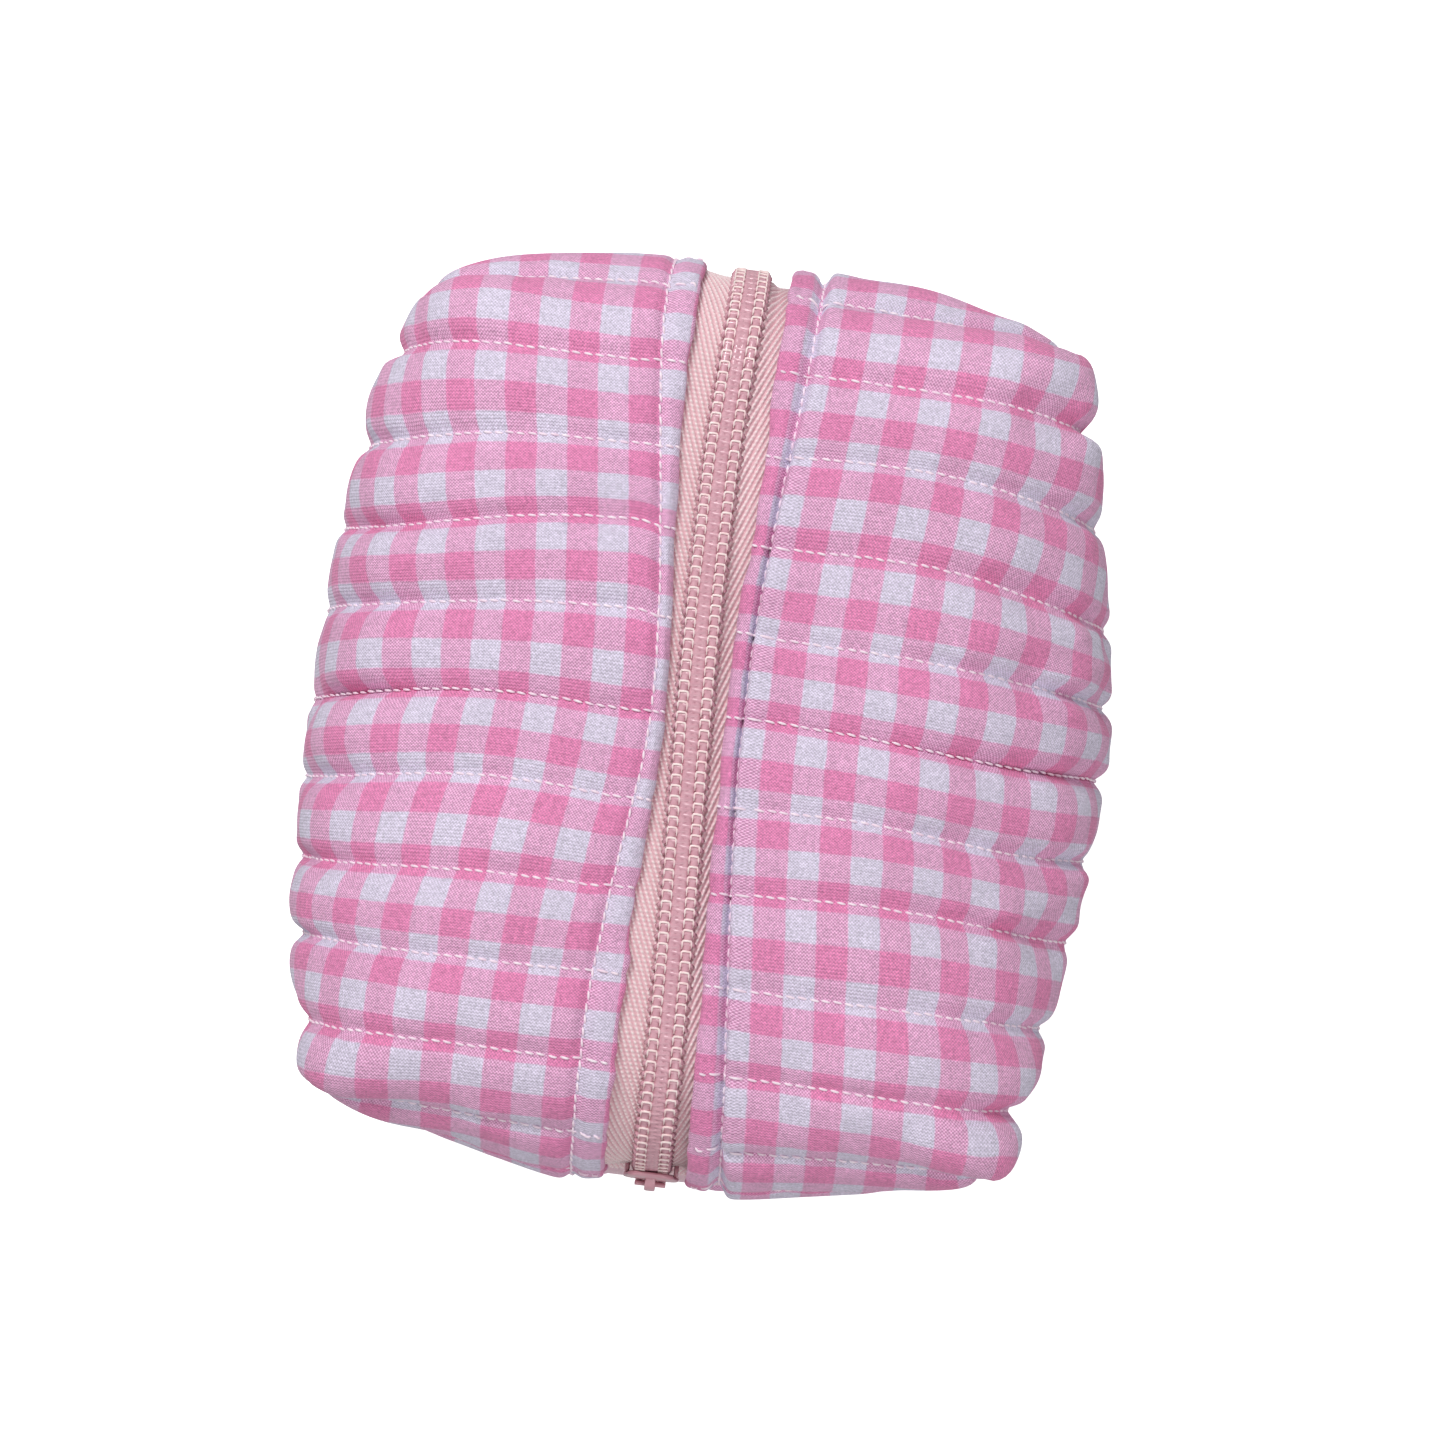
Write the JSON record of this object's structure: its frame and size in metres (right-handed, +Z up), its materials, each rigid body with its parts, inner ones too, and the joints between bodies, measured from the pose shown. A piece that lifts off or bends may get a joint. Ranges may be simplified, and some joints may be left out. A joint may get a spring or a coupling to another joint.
{
  "type": "makeup bag",
  "caption": "Boxy padded makeup pouch in quilted check cotton, closed by a coil zip over its top and down both ends, with boxed corners.",
  "frame": {"origin": "centre of the underside, on the surface the bag stands on", "axes": "+Z up, zip along Y with the slider at the -Y end, X over the width"},
  "size_m": [0.178, 0.2022, 0.09],
  "materials": {
    "printed_cotton": "plain-woven check, two pinks and white",
    "wadding": "needled polyester wadding",
    "lining": "plain cotton",
    "binding": "woven cotton tape",
    "thread": "polyester sewing thread",
    "zip_tape": "satin herringbone tape",
    "zip_coil": "dyed nylon coil",
    "slider_metal": "enamelled die-cast zinc"
  },
  "bodies": {
    "bag": {"binding_end_far": "binding", "binding_end_near": "binding", "binding_far_left": "binding", "binding_far_right": "binding", "binding_near_left": "binding", "binding_near_right": "binding", "coil_far_left": "zip_coil", "coil_far_right": "zip_coil", "coil_near_left": "zip_coil", "coil_near_right": "zip_coil", "cotton_bottom": "printed_cotton", "cotton_end_far": "printed_cotton", "cotton_end_near": "printed_cotton", "cotton_far_left": "printed_cotton", "cotton_far_right": "printed_cotton", "cotton_near_left": "printed_cotton", "cotton_near_right": "printed_cotton", "cotton_side_left": "printed_cotton", "cotton_side_right": "printed_cotton", "edge_stitch_far": "thread", "edge_stitch_near": "thread", "lining_base": "lining", "lining_far": "lining", "lining_near": "lining", "quilting_base": "thread", "quilting_far": "thread", "quilting_near": "thread", "tape_far_left": "zip_tape", "tape_far_right": "zip_tape", "tape_near_left": "zip_tape", "tape_near_right": "zip_tape", "wadding_base": "wadding", "wadding_far": "wadding", "wadding_near": "wadding"},
    "flap_left": {"coil_top_left": "zip_coil", "cotton_top_left": "printed_cotton", "edge_stitch_top_left": "thread", "lining_top_left": "lining", "quilting_top_left": "thread", "tape_top_left": "zip_tape", "wadding_top_left": "wadding"},
    "flap_right": {"coil_top_right": "zip_coil", "cotton_top_right": "printed_cotton", "edge_stitch_top_right": "thread", "lining_top_right": "lining", "quilting_top_right": "thread", "tape_top_right": "zip_tape", "wadding_top_right": "wadding"},
    "slider": {"slider": "slider_metal"},
    "pull_tab": {"pull_tab": "slider_metal"}
  },
  "joints": [
    {"name": "open_left", "type": "hinge", "parent": "bag", "child": "flap_left", "pos_m": [-0.0893, 0, 0.044], "axis": [0, -1, 0], "range_deg": [0, 45]},
    {"name": "open_right", "type": "hinge", "parent": "bag", "child": "flap_right", "pos_m": [0.0893, 0, 0.044], "axis": [0, 1, 0], "range_deg": [0, 45]},
    {"name": "slider_travel", "type": "hinge", "parent": "bag", "child": "slider", "pos_m": [0, -0.064, 0.054], "axis": [-1, 0, 0], "range_deg": [0, 76]},
    {"name": "pull_swing", "type": "hinge", "parent": "slider", "child": "pull_tab", "pos_m": [0, -0.09985, 0.05904], "axis": [-1, 0, 0], "range_deg": [0, 165]}
  ]
}
